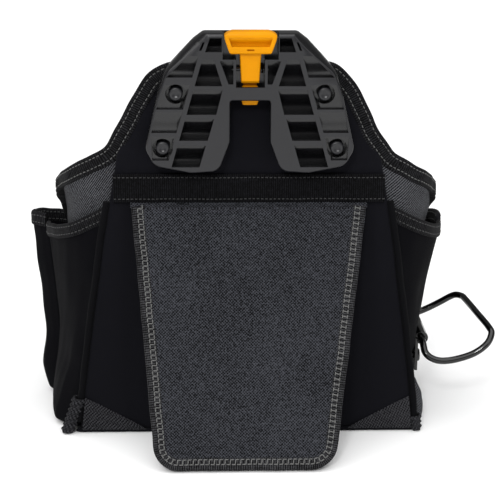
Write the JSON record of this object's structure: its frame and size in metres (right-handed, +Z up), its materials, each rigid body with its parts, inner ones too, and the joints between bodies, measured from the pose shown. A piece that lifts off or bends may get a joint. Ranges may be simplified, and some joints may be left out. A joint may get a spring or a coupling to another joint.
{
  "type": "tool pouch",
  "caption": "Sewn electrician's tool pouch with side and front pockets, a riveted latch hub on its tall back, a hinged kickstand behind and a swinging steel hammer loop.",
  "frame": {"origin": "on the base's underside, on the centre plane, 60 mm ahead of the back panel's rear face", "axes": "+Z up; the rear, with the hub and the kickstand, faces -Y; +X is on the right of someone looking at the rear"},
  "size_m": [0.3382, 0.2241, 0.2939],
  "materials": {
    "black_nylon": "matt woven ballistic nylon, heavily textured",
    "grey_nylon": "matt coarse diagonal weave",
    "kick_canvas": "matt heather charcoal twill",
    "webbing": "ribbed polyester tape with rows of pale stitching",
    "piping": "smooth covered cord",
    "board": "plain extruded sheet",
    "hub_plastic": "satin moulded glass-filled nylon",
    "latch_plastic": "satin moulded acetal",
    "dark_steel": "gloss black coating over steel wire",
    "steel": "plain zinc-plated"
  },
  "bodies": {
    "pouch": {"back_panel": "black_nylon", "left_gusset": "grey_nylon", "right_gusset": "grey_nylon", "front_panel": "black_nylon", "base_panel": "black_nylon", "base_board": "board", "back_rim_binding": "webbing", "front_rim_binding": "webbing", "left_piping": "piping", "right_piping": "piping", "left_front_piping": "piping", "right_front_piping": "piping", "left_corner_guard": "grey_nylon", "right_corner_guard": "grey_nylon", "left_side_pocket": "black_nylon", "left_side_pocket_binding": "webbing", "left_tube_pocket": "black_nylon", "left_tube_pocket_binding": "webbing", "right_side_pocket": "black_nylon", "right_side_pocket_binding": "webbing", "right_tube_pocket": "black_nylon", "right_tube_pocket_binding": "webbing", "front_pocket": "black_nylon", "front_pocket_binding": "webbing", "lower_front_pocket": "grey_nylon", "lower_front_pocket_binding": "webbing", "hinge_webbing_band": "webbing", "hub_plate": "hub_plastic", "hub_backing_plate": "hub_plastic", "left_upper_hub_rivet": "hub_plastic", "left_lower_hub_rivet": "hub_plastic", "right_upper_hub_rivet": "hub_plastic", "right_lower_hub_rivet": "hub_plastic", "latch_pin": "steel", "latch_spring": "steel", "loop_bracket": "dark_steel", "loop_backing_plate": "steel", "loop_rivet_1": "steel", "loop_rivet_2": "steel"},
    "kickstand": {"kickstand_rear_face": "kick_canvas", "kickstand_board": "board", "kickstand_pouch_face": "kick_canvas", "kickstand_binding": "webbing", "kickstand_hinge_tape": "webbing"},
    "latch": {"latch_lever": "latch_plastic"},
    "hammer_loop": {"hammer_loop": "dark_steel"}
  },
  "joints": [
    {"name": "kickstand_hinge", "type": "hinge", "parent": "pouch", "child": "kickstand", "pos_m": [0, -0.0616, 0.1724], "axis": [-1, 0, 0], "range_deg": [-20, 50]},
    {"name": "latch_rock", "type": "hinge", "parent": "pouch", "child": "latch", "pos_m": [0, -0.068, 0.2675], "axis": [-1, 0, 0], "range_deg": [0, 5.5], "stiffness_Nm_per_rad": 0.06, "springref_deg": -11.46},
    {"name": "hammer_loop_swing", "type": "hinge", "parent": "pouch", "child": "hammer_loop", "pos_m": [0.1302, 0, 0.058], "axis": [0, -1, 0], "range_deg": [0, 60]}
  ]
}
